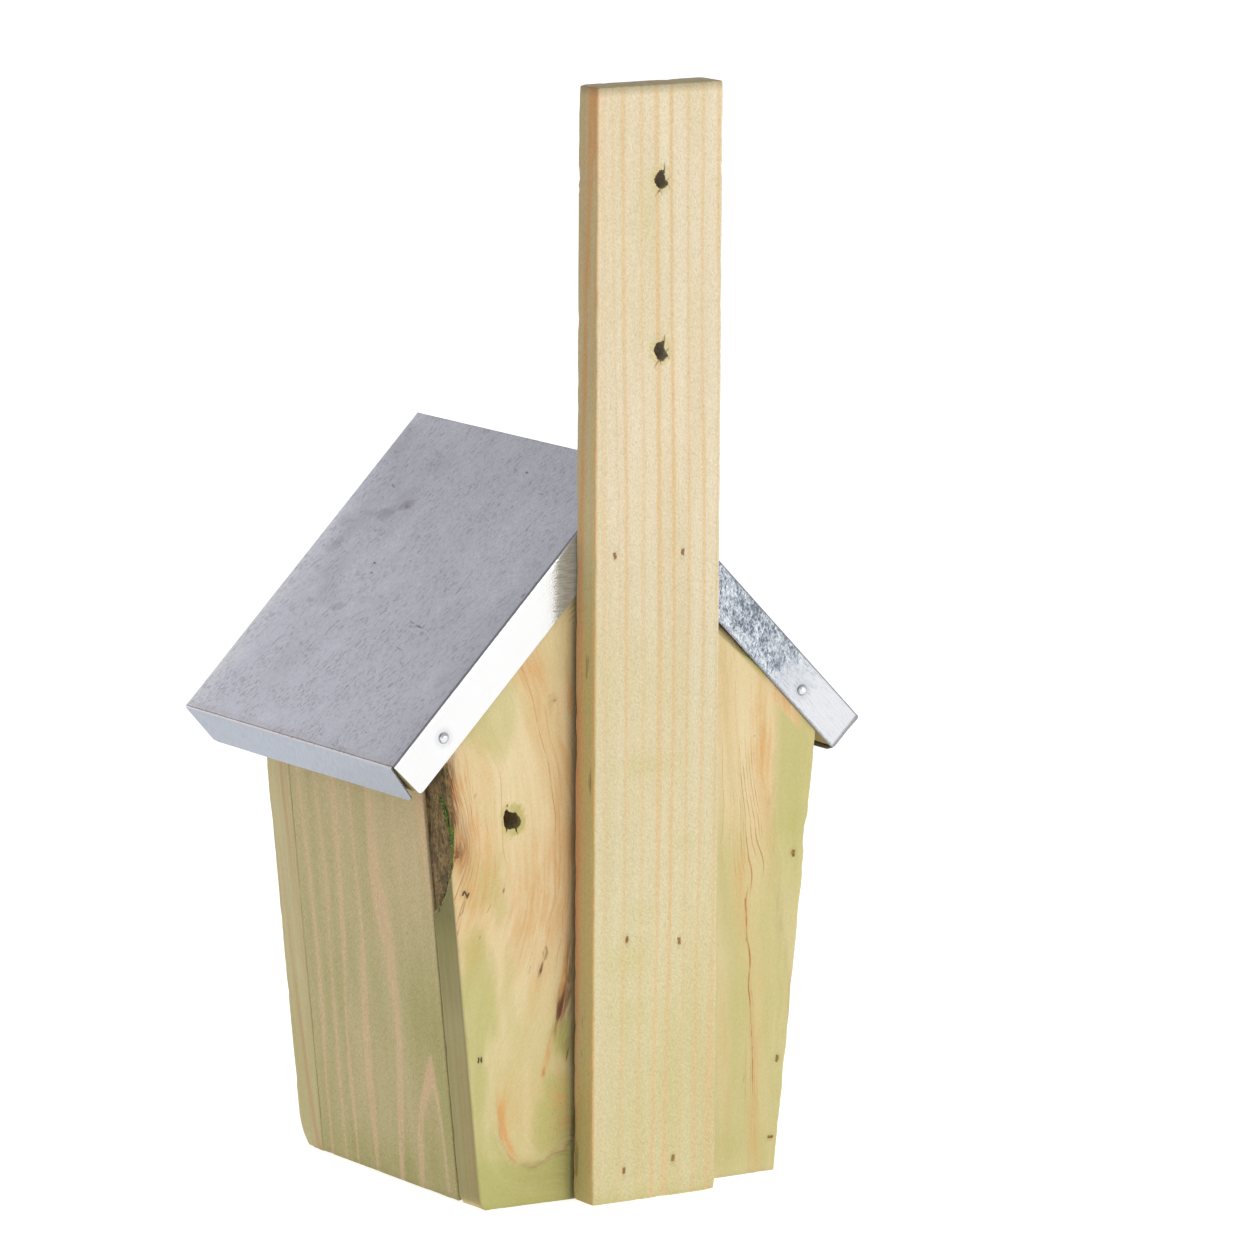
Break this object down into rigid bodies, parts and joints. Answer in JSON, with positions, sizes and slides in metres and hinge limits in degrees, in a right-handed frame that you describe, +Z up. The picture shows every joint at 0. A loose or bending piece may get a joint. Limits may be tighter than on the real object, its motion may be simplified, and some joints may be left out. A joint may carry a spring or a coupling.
{
  "type": "birdhouse",
  "caption": "Wooden nest box with leaning sides, a folded metal sheet roof, a round entrance, a swinging clean-out side and a long fixing batten down its back.",
  "frame": {"origin": "middle of the footprint, on the flat base", "axes": "+Z up along the batten, -Y out of the entrance, +Y out of the back of the fixing batten, +X out of the clean-out side door"},
  "size_m": [0.1884, 0.152, 0.38],
  "materials": {
    "batten_wood": "sawn softwood, pressure treated, pale cream with pink grain stripes",
    "gable_wood": "planed treated pine, tan with orange grain and green patches",
    "side_wood": "planed treated pine, green khaki with pink-brown stripes",
    "roof_board_wood": "sawn treated pine, olive brown",
    "floor_wood": "sawn treated pine",
    "galvanised_sheet": "galvanised, satin, with faint streaks",
    "nail_steel": "galvanised, bright",
    "brad_steel": "weathered, brown"
  },
  "bodies": {
    "house": {"back_batten": "batten_wood", "back_panel": "gable_wood", "front_panel": "gable_wood", "side_panel": "side_wood", "floor_board": "floor_wood", "roof_board_door_side": "roof_board_wood", "roof_board_fixed_side": "roof_board_wood", "roof_sheet": "galvanised_sheet", "batten_brad_roof_a": "brad_steel", "batten_brad_roof_b": "brad_steel", "batten_brad_panel_a": "brad_steel", "batten_brad_panel_b": "brad_steel", "batten_brad_floor_a": "brad_steel", "batten_brad_floor_b": "brad_steel", "back_side_brad_top": "brad_steel", "back_side_brad_mid": "brad_steel", "back_side_brad_low": "brad_steel", "front_side_brad_top": "brad_steel", "front_side_brad_mid": "brad_steel", "front_side_brad_low": "brad_steel", "front_floor_brad_a": "brad_steel", "front_floor_brad_b": "brad_steel", "pivot_nail_back": "brad_steel", "pivot_nail_front": "brad_steel", "stop_nail_back": "brad_steel", "stop_nail_front": "brad_steel", "roof_brad_door_side_back": "brad_steel", "roof_brad_door_side_front": "brad_steel", "roof_brad_fixed_side_back": "brad_steel", "roof_brad_fixed_side_front": "brad_steel", "sheet_nail_back_door_side": "nail_steel", "sheet_nail_back_fixed_side": "nail_steel", "sheet_nail_front_door_side": "nail_steel", "sheet_nail_front_fixed_side": "nail_steel"},
    "side_door": {"side_door": "side_wood"}
  },
  "joints": [
    {"name": "side_door_hinge", "type": "hinge", "parent": "house", "child": "side_door", "pos_m": [0.0646, 0.0027, 0.1096], "axis": [0, -1, 0], "range_deg": [0, 70]}
  ]
}
